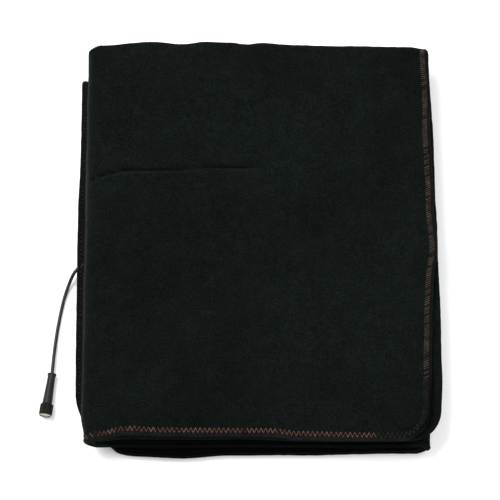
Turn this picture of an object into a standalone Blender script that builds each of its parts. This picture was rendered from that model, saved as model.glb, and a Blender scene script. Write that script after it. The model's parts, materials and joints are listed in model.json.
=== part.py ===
"""Heated fleece blanket, folded for storage, with its low-voltage cable and screw-lock plug.

The flat blanket is folded in half across, with that fold at the back (+Y), and then in thirds
like a Z: top panel, left fold, middle panel, right fold, bottom panel. So each panel is a U of
two layers, and each layer is a face fleece, a heating layer and a back fleece.
Frame: +X right, +Y to the half fold, +Z up, origin on the floor under the blanket's centre.
"""

import math

import bmesh
import bpy
from mathutils import Matrix, Vector

# ---- driving dimensions, metres ----
GAP = 0.0003
BACK_FLEECE = 0.0033
HEAT_LAYER = 0.0005
FACE_FLEECE = 0.0034
TOP_CORNER = 0.038
BOTTOM_CORNER = 0.073
LEFT_PIVOT_X = -0.1963
RIGHT_PIVOT_X = 0.1913
BUSBAR_WIDTH = 0.008
FILM_MARGIN = 0.016
LEAD_WIDTH = 0.003
THREAD_WIDTH = 0.005
THREAD_INSET = 0.0075
THREAD_HEIGHT = 0.0005
CABLE_RADIUS = 0.0021
NUT_RADIUS = 0.0080
RIBS = 24

# ---- what follows from them ----
BACK_IN = GAP / 2
BACK_OUT = BACK_IN + BACK_FLEECE
HEAT_IN = BACK_OUT + GAP
HEAT_OUT = HEAT_IN + HEAT_LAYER
FACE_IN = HEAT_OUT + GAP
HALF = FACE_IN + FACE_FLEECE
PITCH = 2 * HALF + GAP
RIGHT_PIVOT = Vector((RIGHT_PIVOT_X, 0, PITCH - GAP / 2))
LEFT_PIVOT = Vector((LEFT_PIVOT_X, 0, 2 * PITCH - GAP / 2))
FLOOR_CLEAR = GAP

# The pocket in the bottom panel's upper layer, between its two fleeces, behind the cable's exit.
POCKET_Z = HALF + (HEAT_IN + HEAT_OUT) / 2
POCKET_LOW = Vector((-0.2118, -0.0274, POCKET_Z - 0.0026))
POCKET_HIGH = Vector((-0.1678, 0.0046, POCKET_Z + 0.0026))
CABLE_EXIT = Vector((-0.2218, -0.0262, POCKET_Z))
CABLE_OUTWARD = Vector((-0.76, -0.65, 0)).normalized()
CABLE_GAP = (-0.0400, 0.0100)
SUPPLY_SPLICE = Vector((-0.1993, -0.0064, POCKET_Z))
RETURN_SPLICE = Vector((-0.1993, -0.0132, POCKET_Z))
SPLICE_LENGTH = 0.0100
SPLICE_RADIUS = 0.0015
CUTOUT_LOW = Vector((-0.1888, -0.0094, POCKET_Z - 0.0018))
CUTOUT_HIGH = Vector((-0.1768, -0.0034, POCKET_Z + 0.0018))
SENSOR = Vector((-0.1858, 0.0006, POCKET_Z))
SENSOR_LENGTH = 0.0080
SENSOR_RADIUS = 0.0013
LEAD_CLEAR = 0.0040
GROMMET_LENGTH = 0.016
GROMMET_RADIUS = 0.0030
TAIL_INSIDE = 0.0250

# The plug's axis, from its cable end to its mating face, tilted so that the wide nut lies on the floor.
PLUG_TAIL = Vector((-0.2494, -0.1566, 0.0063))
PLUG_TILT = math.radians(2.5)
PLUG_HEADING = Vector((-0.1280, -0.9918, 0))
BOOT_LENGTH = 0.0382
# The plug's other pieces are measured from the boot's end.
NUT_START = 0.0006
NUT_LIP = 0.0029
NUT_END = 0.0150
SHELL_END = 0.0109

# The free cable's route from the blanket's hem to the plug's boot.
CABLE_ROUTE = (
    (-0.22203, -0.02640, 0.01208),
    (-0.2245, -0.0290, 0.0115),
    (-0.2276, -0.0340, 0.0091),
    (-0.2308, -0.0410, 0.0061),
    (-0.2342, -0.0500, 0.0036),
    (-0.2378, -0.0625, 0.0024),
    (-0.2410, -0.0785, 0.0023),
    (-0.2437, -0.0950, 0.0024),
    (-0.2459, -0.1120, 0.0030),
    (-0.2478, -0.1330, 0.0046),
    (-0.24936, -0.1563, 0.00629),
)
CABLE_POINTS = 22

# How far each panel's heating film starts from its left edge.
BOTTOM_FILM_MARGIN = 0.052
FOLD_FILM_MARGIN = 0.012

COLOURS = {
    "fleece": ((0.011, 0.012, 0.012), 0.95, 0.0),
    "lining": ((0.016, 0.016, 0.017), 0.95, 0.0),
    "thread": ((0.110, 0.040, 0.032), 0.70, 0.0),
    "film": ((0.012, 0.012, 0.013), 0.45, 0.0),
    "copper": ((0.720, 0.330, 0.180), 0.30, 1.0),
    "cable": ((0.022, 0.022, 0.023), 0.45, 0.0),
    "shell": ((0.030, 0.030, 0.031), 0.40, 0.0),
    "insert": ((0.560, 0.520, 0.430), 0.50, 0.0),
    "brass": ((0.750, 0.560, 0.250), 0.25, 1.0),
    "rubber": ((0.200, 0.040, 0.030), 0.60, 0.0),
    "ceramic": ((0.700, 0.680, 0.620), 0.40, 0.0),
}


def clear_scene():
    for obj in list(bpy.data.objects):
        bpy.data.objects.remove(obj)


def material(node, look):
    colour, roughness, metallic = COLOURS[look]
    made = bpy.data.materials.new(node)
    made.use_nodes = True
    shader = made.node_tree.nodes["Principled BSDF"]
    shader.inputs["Base Color"].default_value = (*colour, 1)
    shader.inputs["Roughness"].default_value = roughness
    shader.inputs["Metallic"].default_value = metallic
    return made


def empty(name, place, parent=None, turn=None):
    """A guide on a joint's axis, placed in world space, that carries what moves about it."""
    obj = bpy.data.objects.new(name, None)
    bpy.context.scene.collection.objects.link(obj)
    world = Matrix.Translation(place) @ (turn or Matrix())
    obj.parent = parent
    obj.matrix_basis = parent.matrix_basis.inverted() @ world if parent else world
    return obj


def add_mesh(name, bm, look, parent=None, smooth=False):
    bmesh.ops.recalc_face_normals(bm, faces=bm.faces)
    mesh = bpy.data.meshes.new(name)
    bm.to_mesh(mesh)
    bm.free()
    if smooth:
        mesh.shade_smooth()
        mesh.set_sharp_from_angle(angle=math.radians(35))
    obj = bpy.data.objects.new(name, mesh)
    obj.data.materials.append(material(name, look))
    obj.parent = parent
    bpy.context.scene.collection.objects.link(obj)
    return obj


def swept(name, runs, look, parent, origin):
    """One solid for each run, which is a list of four-cornered sections in world space."""
    bm = bmesh.new()
    for sections in runs:
        rings = [[bm.verts.new(Vector(p) - origin) for p in section] for section in sections]
        for a, b in zip(rings, rings[1:]):
            for i in range(4):
                j = (i + 1) % 4
                bm.faces.new((a[i], a[j], b[j], b[i]))
        bm.faces.new(rings[0][::-1])
        bm.faces.new(rings[-1])
    return add_mesh(name, bm, look, parent)


def box_sections(low, high):
    """A box as two sections across X."""
    return [
        [(x, low[1], low[2]), (x, high[1], low[2]), (x, high[1], high[2]), (x, low[1], high[2])]
        for x in (low[0], high[0])
    ]


def turned(name, outline, look, parent, segments=24, rib=0.0):
    """A closed outline of (radius, height) turned about the parent's Z. Points at radius 0 close it.

    Every second column of the outermost points stands in by rib, which makes grip ribs."""
    widest = max(radius for radius, _ in outline)
    bm = bmesh.new()
    rings = []
    for radius, height in outline:
        if radius == 0:
            rings.append([bm.verts.new((0, 0, height))] * segments)
            continue
        ring = []
        for k in range(segments):
            angle = math.tau * k / segments
            reach = radius - (rib if radius == widest and k % 2 else 0)
            ring.append(bm.verts.new((reach * math.cos(angle), reach * math.sin(angle), height)))
        rings.append(ring)
    solid = outline[0][0] == 0
    pairs = list(zip(rings, rings[1:])) + ([] if solid else [(rings[-1], rings[0])])
    for a, b in pairs:
        for k in range(segments):
            j = (k + 1) % segments
            corners = list(dict.fromkeys((a[k], a[j], b[j], b[k])))
            if len(corners) > 2:
                bm.faces.new(corners)
    return add_mesh(name, bm, look, parent, smooth=True)


# ---- one panel of the folded blanket ----
class Panel:
    """A third of the blanket: an upper and a lower layer that meet in the half fold at the back.

    left and right give the X of the edge as (at the half fold, at the hem) for the upper layer
    and then for the lower one. round_side is the side with the blanket's rounded corners."""

    def __init__(self, name, level, front, back, left, right, round_side, corner, hinge, origin):
        self.name = name
        self.middle = level * PITCH + HALF
        self.front = front
        self.fold = back - HALF
        self.edges = {"left": left, "right": right}
        self.round_side = round_side
        self.corner = corner
        self.hinge = hinge
        self.origin = origin

    def edge(self, side, layer, y, inset=0.0):
        """The X of the side edge of layer 0 (upper) or 1 (lower) at y."""
        at_fold, at_hem = self.edges[side][layer]
        share = (self.fold - y) / (self.fold - self.front)
        inward = 1 if side == "left" else -1
        return at_fold + (at_hem - at_fold) * share + inward * inset

    def stations(self, layer, steps=6):
        """(y, corner inset on the left, on the right) from the hem to the half fold."""
        if not self.round_side:
            return [(self.front, 0, 0), (self.fold, 0, 0)]
        rows = []
        for k in range(steps + 1):
            angle = math.pi / 2 * k / steps
            inset = self.corner * (1 - math.sin(angle))
            y = self.front + self.corner * (1 - math.cos(angle))
            left = inset if self.round_side == "left" else 0
            rows.append((y, left, inset - left))
        return rows + [(self.fold, 0, 0)]


def layer_section(panel, layer, y, left_inset, right_inset, near, far):
    """A flat layer's section at y, from near to far above or below the panel's middle."""
    left = panel.edge("left", layer, y, left_inset)
    right = panel.edge("right", layer, y, right_inset)
    up = 1 if layer == 0 else -1
    low, high = panel.middle + up * near, panel.middle + up * far
    return [(left, y, low), (right, y, low), (right, y, high), (left, y, high)]


def fold_sections(panel, left, right, near, far, steps=8):
    """The half fold's sections, from the upper layer round the back to the lower one."""
    rows = []
    for k in range(1, steps):
        angle = math.pi / 2 - math.pi * k / steps
        across, up = math.cos(angle), math.sin(angle)
        y_near, z_near = panel.fold + near * across, panel.middle + near * up
        y_far, z_far = panel.fold + far * across, panel.middle + far * up
        rows.append(
            [(left, y_near, z_near), (right, y_near, z_near), (right, y_far, z_far), (left, y_far, z_far)]
        )
    return rows


def fleece(panel, skin, near, far):
    """A U of fleece: the upper layer, round the half fold and along the lower layer to its hem."""
    upper = [layer_section(panel, 0, *row, near, far) for row in panel.stations(0)]
    lower = [layer_section(panel, 1, *row, near, far) for row in panel.stations(1)]
    left, right = panel.edge("left", 0, panel.fold), panel.edge("right", 0, panel.fold)
    round_back = fold_sections(panel, left, right, near, far)
    look = "fleece" if skin == "face" else "lining"
    name = f"{panel.name}_{skin}_fleece"
    return swept(name, [upper + round_back + lower[::-1]], look, panel.hinge, panel.origin)


def film_area(panel, left_margin):
    """The corners of a panel's heating films: (low x, low y, high x, high y)."""
    side = THREAD_INSET + FILM_MARGIN
    left = max(*panel.edges["left"][0], *panel.edges["left"][1]) + left_margin
    right_edge = min(*panel.edges["right"][0], *panel.edges["right"][1])
    right = right_edge - (side if panel.round_side == "right" else FOLD_FILM_MARGIN)
    return left, panel.front + side, right, panel.fold - FOLD_FILM_MARGIN


def heat_height(panel, layer):
    up = 1 if layer == 0 else -1
    return sorted((panel.middle + up * HEAT_IN, panel.middle + up * HEAT_OUT))


def film(panel, layer, left_margin):
    """The carbon film of one layer, between its two busbars."""
    x0, y0, x1, y1 = film_area(panel, left_margin)
    inset = BUSBAR_WIDTH + GAP
    z0, z1 = heat_height(panel, layer)
    place = "upper" if layer == 0 else "lower"
    sections = box_sections((x0 + inset, y0, z0), (x1 - inset, y1, z1))
    swept(f"{panel.name}_film_{place}", [sections], "film", panel.hinge, panel.origin)


def busbar(panel, side, left_margin):
    """A copper strip along one side of both films, which runs on round the half fold."""
    x0, y0, x1, _ = film_area(panel, left_margin)
    left = x0 if side == "left" else x1 - BUSBAR_WIDTH
    right = left + BUSBAR_WIDTH
    ends = []
    for up in (1, -1):
        low, high = panel.middle + up * HEAT_IN, panel.middle + up * HEAT_OUT
        ends.append(
            [[(left, y, low), (right, y, low), (right, y, high), (left, y, high)] for y in (y0, panel.fold)]
        )
    curve = fold_sections(panel, left, right, HEAT_IN, HEAT_OUT)
    runs = [ends[0] + curve + ends[1][::-1]]
    swept(f"{panel.name}_busbar_{side}", runs, "copper", panel.hinge, panel.origin)


def hem_path(panel, layer):
    """The stitch line's points and outward directions: along the front hem, then round its corner."""
    if not panel.round_side:
        front = panel.front + THREAD_INSET
        return [
            (Vector((x, front, 0)), Vector((0, -1, 0)))
            for x in (LEFT_PIVOT_X + 0.002, RIGHT_PIVOT_X - 0.002)
        ]
    side = panel.round_side
    outward = 1 if side == "right" else -1
    fold_side = LEFT_PIVOT_X + 0.002 if side == "right" else RIGHT_PIVOT_X - 0.002
    bend = panel.corner - THREAD_INSET
    centre_y = panel.front + panel.corner
    centre_x = panel.edge(side, layer, centre_y) - outward * panel.corner
    points = [(Vector((fold_side, panel.front + THREAD_INSET, 0)), Vector((0, -1, 0)))]
    for k in range(7):
        angle = math.pi / 2 * k / 6
        out = Vector((outward * math.sin(angle), -math.cos(angle), 0))
        points.append((Vector((centre_x, centre_y, 0)) + bend * out, out))
    end = Vector((panel.edge(side, layer, panel.fold) - outward * THREAD_INSET, panel.fold - 0.001, 0))
    return points + [(end, Vector((outward, 0, 0)))]


def thread_sections(path, low, high):
    rows = []
    for point, out in path:
        outer, inner = point + out * THREAD_WIDTH / 2, point - out * THREAD_WIDTH / 2
        a, b = (outer.x, outer.y), (inner.x, inner.y)
        rows.append([(*a, low), (*b, low), (*b, high), (*a, high)])
    return rows


def split_path(path, y_low, y_high):
    """The path in two, with its last straight run open between y_low and y_high."""
    (start, out), (end, _) = path[-2], path[-1]
    cuts = [start.lerp(end, (y - start.y) / (end.y - start.y)) for y in (y_low, y_high)]
    side = path[-1][1]
    return [path[:-1] + [(cuts[0], side)], [(cuts[1], side), path[-1]]]


def hem_thread(panel, layer):
    """The row of stitches through one layer's hem, as a band between its two fleeces."""
    low, high = heat_height(panel, layer)
    paths = [hem_path(panel, layer)]
    if panel.name == "bottom" and layer == 0:
        paths = split_path(paths[0], *CABLE_GAP)
    place = "upper" if layer == 0 else "lower"
    for path, end in zip(paths, ("", "_behind_cable")):
        rows = [thread_sections(path, low, high)]
        name = f"{panel.name}_hem_thread_{place}{end}"
        swept(name, rows, "thread", panel.hinge, panel.origin)


def top_stitching(panel):
    """The zigzag row that shows on the top layer, as a low band on the fleece."""
    low = panel.middle + HALF + GAP
    rows = thread_sections(hem_path(panel, 0), low, low + THREAD_HEIGHT)
    swept("top_edge_stitching", [rows], "thread", panel.hinge, panel.origin)


def side_fold(name, pivot, side, near, far, front, back, parent, origin):
    """A layer's bend round the left (-1) or right (+1) fold, between the panels' edges."""
    rows = []
    steps = 10
    for k in range(steps + 1):
        angle = math.pi / 2 - math.pi * k / steps
        across, up = side * math.cos(angle), math.sin(angle)
        x_near, z_near = pivot.x + near * across, pivot.z + near * up
        x_far, z_far = pivot.x + far * across, pivot.z + far * up
        rows.append(
            [(x_near, front, z_near), (x_near, back, z_near), (x_far, back, z_far), (x_far, front, z_far)]
        )
    return swept(name, [rows], "fleece", parent, origin)


def cut(obj, cutter):
    """Takes a cutter's shape out of a solid, for good."""
    modifier = obj.modifiers.new("pocket", "BOOLEAN")
    modifier.operation = "DIFFERENCE"
    modifier.solver = "EXACT"
    modifier.object = cutter


def hide_cutter(obj):
    obj.hide_render = True
    obj.display_type = "WIRE"
    return obj


# ---- the bottom panel's wiring, in a pocket behind the cable's exit ----
def pocket_cutter():
    sections = box_sections(POCKET_LOW, POCKET_HIGH)
    return hide_cutter(swept("pocket_cutter", [sections], "film", None, Vector()))


def grommet_cutter(axis):
    clear = GROMMET_RADIUS + GAP
    outline = [(0, -0.004), (clear, -0.004), (clear, GROMMET_LENGTH + 0.006), (0, GROMMET_LENGTH + 0.006)]
    return hide_cutter(turned("grommet_cutter", outline, "film", axis, segments=16))


def grommet(axis):
    """A soft sleeve in the hem that the cable leaves through. It tapers towards its outer end."""
    bore = CABLE_RADIUS + GAP
    outline = [
        (bore, 0),
        (GROMMET_RADIUS, 0),
        (GROMMET_RADIUS, GROMMET_LENGTH * 0.6),
        (GROMMET_RADIUS - 0.0004, GROMMET_LENGTH),
        (bore, GROMMET_LENGTH),
    ]
    turned("cable_grommet", outline, "cable", axis, segments=16)


def cable_inner_end(axis):
    inside = -(TAIL_INSIDE - GROMMET_LENGTH)
    outline = [(0, inside), (CABLE_RADIUS, inside), (CABLE_RADIUS, GROMMET_LENGTH), (0, GROMMET_LENGTH)]
    turned("cable_inner_end", outline, "cable", axis, segments=12)


def lying(name, start, length, radius, look, segments=12):
    """A rod along +X from its start point."""
    axis = empty(f"{name}_axis", start, turn=Matrix.Rotation(math.pi / 2, 4, "Y"))
    return turned(name, [(0, 0), (radius, 0), (radius, length), (0, length)], look, axis, segments)


def pocket_parts():
    """What the cable's two cores join in the pocket: splices, the thermal cutout and the sensor."""
    lying("supply_splice", SUPPLY_SPLICE, SPLICE_LENGTH, SPLICE_RADIUS, "insert")
    lying("return_splice", RETURN_SPLICE, SPLICE_LENGTH, SPLICE_RADIUS, "insert")
    swept("thermal_cutout", [box_sections(CUTOUT_LOW, CUTOUT_HIGH)], "ceramic", None, Vector())
    lying("temperature_sensor", SENSOR, SENSOR_LENGTH, SENSOR_RADIUS, "brass")


def flat_lead(name, path):
    """A flat copper lead in the heating layer, along square-cornered runs of (x, y)."""
    z0, z1 = POCKET_Z - HEAT_LAYER / 2, POCKET_Z + HEAT_LAYER / 2
    points = [Vector((x, y)) for x, y in path]
    runs = [(b - a).normalized() for a, b in zip(points, points[1:])]
    rows = []
    for k, point in enumerate(points):
        before, after = runs[max(k - 1, 0)], runs[min(k, len(runs) - 1)]
        across = Vector((-before.y, before.x))
        if (after - before).length > 0.5:
            across += Vector((-after.y, after.x))
        a, b = point - across * LEAD_WIDTH / 2, point + across * LEAD_WIDTH / 2
        rows.append([(*a, z0), (*b, z0), (*b, z1), (*a, z1)])
    swept(name, [rows], "copper", None, Vector())


def pocket_wiring(panel):
    """One lead from the cutout to the near busbar, and one round the film's front to the far one."""
    x0, y0, x1, _ = film_area(panel, BOTTOM_FILM_MARGIN)
    near = x0 - GAP
    far = x1 - BUSBAR_WIDTH / 2
    flat_lead("supply_lead", [(CUTOUT_HIGH.x + 2 * GAP, SUPPLY_SPLICE.y), (near, SUPPLY_SPLICE.y)])
    front = y0 - LEAD_CLEAR
    beside = x0 - 1.5 * LEAD_CLEAR
    start = (RETURN_SPLICE.x + SPLICE_LENGTH + 2 * GAP, RETURN_SPLICE.y)
    route = [start, (beside, start[1]), (beside, front), (far, front), (far, y0 - GAP)]
    flat_lead("return_lead", route)


# ---- the free cable and its plug ----
def smooth_line(route, count):
    """Evenly numbered points on a Catmull-Rom curve through the route."""
    points = [Vector(p) for p in route]
    ends = [2 * points[0] - points[1], *points, 2 * points[-1] - points[-2]]
    line = []
    for n in range(count):
        place = n * (len(points) - 1) / (count - 1)
        i = min(int(place), len(points) - 2)
        t = place - i
        a, b, c, d = ends[i : i + 4]
        square, cube = 2 * a - 5 * b + 4 * c - d, 3 * b - a - 3 * c + d
        line.append(0.5 * (2 * b + (c - a) * t + square * t**2 + cube * t**3))
    return line


def power_cable():
    curve = bpy.data.curves.new("power_cable", "CURVE")
    curve.dimensions = "3D"
    curve.bevel_depth = CABLE_RADIUS
    curve.bevel_resolution = 2
    curve.use_fill_caps = True
    line = smooth_line(CABLE_ROUTE, CABLE_POINTS)
    spline = curve.splines.new("POLY")
    spline.points.add(len(line) - 1)
    for point, place in zip(spline.points, line):
        point.co = (*place, 1)
    obj = bpy.data.objects.new("power_cable", curve)
    obj.data.materials.append(material("power_cable", "cable"))
    bpy.context.scene.collection.objects.link(obj)


def connector_boot(axis):
    """The moulded grip behind the nut: a small collar at the cable, then a long taper."""
    outline = [
        (0, 0),
        (0.0052, 0),
        (0.0055, 0.0004),
        (0.0055, 0.0022),
        (0.0048, 0.0026),
        (0.0049, 0.0120),
        (0.0059, 0.0340),
        (0.0060, BOOT_LENGTH),
        (0, BOOT_LENGTH),
    ]
    turned("connector_boot", outline, "cable", axis)


def connector_shell(axis):
    """The plug's body inside the nut, with the flange that the nut pulls on and an open socket."""
    outline = [
        (0, GAP),
        (0.0048, GAP),
        (0.0048, 0.0032),
        (0.0058, 0.0032),
        (0.0058, 0.0052),
        (0.0048, 0.0052),
        (0.0048, SHELL_END),
        (0.0041, SHELL_END),
        (0.0041, 0.0080),
        (0, 0.0080),
    ]
    turned("connector_shell", outline, "shell", axis)


def contact_insert(axis):
    """The pale plug face that holds the contacts, with a hole round each of them."""
    front = NUT_END - 0.0004
    outline = [
        (0, 0.0083),
        (0.0038, 0.0083),
        (0.0038, SHELL_END + GAP),
        (0.0050, SHELL_END + GAP),
        (0.0050, front),
        (0, front),
    ]
    insert = turned("contact_insert", outline, "insert", axis)
    holes = []
    for k, x in enumerate((-0.0020, 0.0020)):
        spot = empty(f"contact_axis_{k}", axis.matrix_basis @ Vector((x, 0, 0)), turn=turn_of(axis))
        hole = [(0, 0.0093), (0.0011, 0.0093), (0.0011, 0.0160), (0, 0.0160)]
        cutter = hide_cutter(turned(f"contact_hole_{k}", hole, "insert", spot, segments=12))
        cut(insert, cutter)
        holes.append(spot)
    for k, spot in enumerate(holes):
        pin = [(0, 0.0096), (0.0008, 0.0096), (0.0008, front - 0.0006), (0, front - 0.0006)]
        turned(f"contact_{k + 1}", pin, "brass", spot, segments=10)


def seal_ring(axis):
    """The soft ring round the shell in front of its flange, which the mating socket presses on."""
    outline = [
        (0.0056 + 0.00055 * math.cos(math.tau * k / 8), 0.0061 + 0.00055 * math.sin(math.tau * k / 8))
        for k in range(8)
    ]
    turned("seal_ring", outline, "rubber", axis)


def coupling_nut(axis):
    """The ribbed ring that screws the plug to its socket. Its rear lip sits behind the flange."""
    outline = [
        (0.0052, NUT_START),
        (0.0070, NUT_START),
        (NUT_RADIUS, NUT_START + 0.0010),
        (NUT_RADIUS, NUT_END - 0.0014),
        (0.0074, NUT_END - 0.0004),
        (0.0066, NUT_END - 0.0004),
        (0.0063, NUT_END - 0.0008),
        (0.0063, NUT_LIP),
        (0.0052, NUT_LIP),
    ]
    turned("coupling_nut", outline, "shell", axis, segments=2 * RIBS, rib=0.0004)


def nut_face_ring(axis):
    """The pale ring pressed into the nut's open end."""
    outline = [
        (0.0063, NUT_END - 0.0001),
        (0.0074, NUT_END - 0.0001),
        (0.0074, NUT_END + 0.0005),
        (0.0063, NUT_END + 0.0005),
    ]
    turned("nut_face_ring", outline, "insert", axis)


def turn_of(obj):
    return obj.matrix_basis.to_3x3().to_4x4()


# ---- assembly ----
def blanket():
    right_hinge = empty("right_fold_axis", RIGHT_PIVOT)
    left_hinge = empty("left_fold_axis", LEFT_PIVOT, right_hinge)
    left_edge, right_edge = LEFT_PIVOT_X + GAP, RIGHT_PIVOT_X - GAP
    straight_left, straight_right = (left_edge, left_edge), (right_edge, right_edge)
    bottom = Panel(
        "bottom",
        level=0,
        front=-0.2605,
        back=0.2340,
        left=((-0.2218, -0.2218), (-0.2200, -0.2200)),
        right=(straight_right, straight_right),
        round_side="left",
        corner=BOTTOM_CORNER,
        hinge=None,
        origin=Vector(),
    )
    middle = Panel(
        "middle",
        level=1,
        front=-0.2520,
        back=0.2565,
        left=(straight_left, straight_left),
        right=(straight_right, straight_right),
        round_side=None,
        corner=0,
        hinge=right_hinge,
        origin=RIGHT_PIVOT,
    )
    top = Panel(
        "top",
        level=2,
        front=-0.2470,
        back=0.2605,
        left=(straight_left, straight_left),
        right=((0.2140, 0.2100), (0.2140, 0.2218)),
        round_side="right",
        corner=TOP_CORNER,
        hinge=left_hinge,
        origin=LEFT_PIVOT,
    )
    for panel in (bottom, middle, top):
        fleece(panel, "face", FACE_IN, HALF)
        fleece(panel, "back", BACK_IN, BACK_OUT)
        margin = BOTTOM_FILM_MARGIN if panel is bottom else FOLD_FILM_MARGIN
        for layer in (0, 1):
            film(panel, layer, margin)
            hem_thread(panel, layer)
        for side in ("left", "right"):
            busbar(panel, side, margin)
    top_stitching(top)
    return bottom, middle, top


def side_folds(middle):
    """The bends that join the panels: one for each of the two layers, at each side."""
    front, back = middle.front, middle.fold - 0.014
    inner, outer = (BACK_IN, HALF), (HALF + GAP, 2 * HALF + GAP - FLOOR_CLEAR)
    hinge, origin = middle.hinge, middle.origin
    side_fold("left_fold_inner", LEFT_PIVOT, -1, *inner, front, back, hinge, origin)
    side_fold("left_fold_outer", LEFT_PIVOT, -1, *outer, front, back, hinge, origin)
    side_fold("right_fold_inner", RIGHT_PIVOT, 1, *inner, front, back, None, Vector())
    side_fold("right_fold_outer", RIGHT_PIVOT, 1, *outer, front, back, None, Vector())


def cable_entry(bottom):
    turn = CABLE_OUTWARD.to_track_quat("Z", "Y").to_matrix().to_4x4()
    axis = empty("cable_exit_axis", CABLE_EXIT - GROMMET_LENGTH * CABLE_OUTWARD, turn=turn)
    cutters = [pocket_cutter(), grommet_cutter(axis)]
    for skin in ("face", "back"):
        for cutter in cutters:
            cut(bpy.data.objects[f"bottom_{skin}_fleece"], cutter)
    grommet(axis)
    cable_inner_end(axis)
    pocket_parts()
    pocket_wiring(bottom)


def plug():
    level = math.cos(PLUG_TILT) * PLUG_HEADING.normalized()
    heading = level + Vector((0, 0, math.sin(PLUG_TILT)))
    turn = heading.to_track_quat("Z", "Y").to_matrix().to_4x4()
    connector_boot(empty("boot_axis", PLUG_TAIL, turn=turn))
    axis = empty("plug_axis", PLUG_TAIL + BOOT_LENGTH * heading, turn=turn)
    connector_shell(axis)
    contact_insert(axis)
    seal_ring(axis)
    coupling_nut(axis)
    nut_face_ring(axis)


clear_scene()
bottom_panel, middle_panel, top_panel = blanket()
side_folds(middle_panel)
cable_entry(bottom_panel)
power_cable()
plug()
bpy.context.view_layer.update()
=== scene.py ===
"""Looks of the folded heated fleece blanket: soft layers, hems, stitches, cable and plug.

Each panel of the blanket is one thick sheet that runs from its upper hem round the half fold to
its lower hem. Sleeves of the same sheet bend round the two side folds. Everything made of cloth
goes through one smooth field of small shifts, so that neighbours stay in touch. The field's gentle
relief comes from a short cloth simulation, and its hems, dips and crease are written out below.
The fleece also carries painted light and shade in its colour: painted highlights on the left fold's
ridge and the front hem's lip, and painted shade in the crease, in the front right corner's groove and
on the front ends of the layers below.
"""
import json
import math

import bpy
import numpy as np
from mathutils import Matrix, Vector


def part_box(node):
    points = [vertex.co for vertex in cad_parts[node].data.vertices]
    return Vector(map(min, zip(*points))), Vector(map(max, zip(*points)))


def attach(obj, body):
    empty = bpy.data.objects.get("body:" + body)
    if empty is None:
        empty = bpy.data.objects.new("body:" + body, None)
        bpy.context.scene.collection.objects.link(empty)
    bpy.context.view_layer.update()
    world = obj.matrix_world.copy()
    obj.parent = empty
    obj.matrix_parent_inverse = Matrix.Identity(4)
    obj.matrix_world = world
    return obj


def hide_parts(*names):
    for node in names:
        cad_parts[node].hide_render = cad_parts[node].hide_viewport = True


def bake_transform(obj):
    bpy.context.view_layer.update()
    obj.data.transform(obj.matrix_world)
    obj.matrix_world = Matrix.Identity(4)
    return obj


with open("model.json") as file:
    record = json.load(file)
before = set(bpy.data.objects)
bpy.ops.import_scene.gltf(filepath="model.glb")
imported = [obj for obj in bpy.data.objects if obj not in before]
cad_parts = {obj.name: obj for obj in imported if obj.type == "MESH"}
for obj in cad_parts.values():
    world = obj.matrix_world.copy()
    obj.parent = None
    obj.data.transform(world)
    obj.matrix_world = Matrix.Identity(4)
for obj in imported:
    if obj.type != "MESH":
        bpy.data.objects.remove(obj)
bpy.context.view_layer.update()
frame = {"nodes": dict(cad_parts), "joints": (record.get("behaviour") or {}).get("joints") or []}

# ---- sizes that the frame gives, metres ----
JOINTS = {joint["name"]: joint for joint in frame["joints"]}
LEFT_PIVOT = np.array(JOINTS["top_panel_unfold"]["pos_m"])
RIGHT_PIVOT = np.array(JOINTS["middle_panel_unfold"]["pos_m"])
SEAMS = (LEFT_PIVOT[0], RIGHT_PIVOT[0])
BOX = {name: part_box(name) for name in frame["nodes"]}
TOP_LOW, TOP_HIGH = BOX["top_face_fleece"]
STACK = TOP_HIGH[2]  # the folded blanket's height
HALF = (TOP_HIGH[2] - TOP_LOW[2]) / 2  # half the height of a panel that is folded in half
GAP = 0.0003  # between a panel's two layers, and between two panels
BACK_IN = GAP / 2
MID = (HALF + BACK_IN) / 2  # from a panel's middle plane to the middle of a layer
FULL = (HALF - BACK_IN) / 2  # half a layer's thickness
INNER = HALF + GAP / 2 - MID  # radii of the side folds' sleeves, at the middle of the cloth
OUTER = HALF + GAP / 2 + MID

# ---- hems and corners, metres ----
HEM_HALF = 0.0034  # half the thickness at a hem
NOSE = 0.0036  # depth of the hem's round nose
STITCH_IN = 0.0070  # from the hem's edge to its row of stitches
PINCH = 0.0013  # how deep the stitches sink
PINCH_WIDTH = 0.0016
HEM_RISE = (0.008, 0.022)  # distances from the hem over which the cloth grows to full thickness
THINNEST = 0.00015  # half the thickness at the very edge
TOP_CORNER = 0.038
BOTTOM_CORNER = 0.076

# ---- mesh steps of the cloth ----
STEP_TOP = 0.0034
STEP_LOWER = 0.0050
FINE = (0, 0.0003, 0.0010, 0.0020, 0.0034, 0.0050, 0.0060, 0.0070, 0.0080, 0.0092, 0.0110, 0.0140, 0.0180)
HALF_FOLD_STEPS = 14
SIDE_FOLD_STEPS = 22
SLEEVE_ROWS = 110
CAP_STEPS = 12
CAP_SHARE = 12 / 12.3  # the cap stops just short of closing in a point
CAP_OUTER = HALF * 0.96  # how far the sleeves' caps reach past the back fold's axis
CAP_INNER = HALF * 0.42
CAP_APART = 0.0006  # how far each skin's cap ends from the cloth's middle

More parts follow.
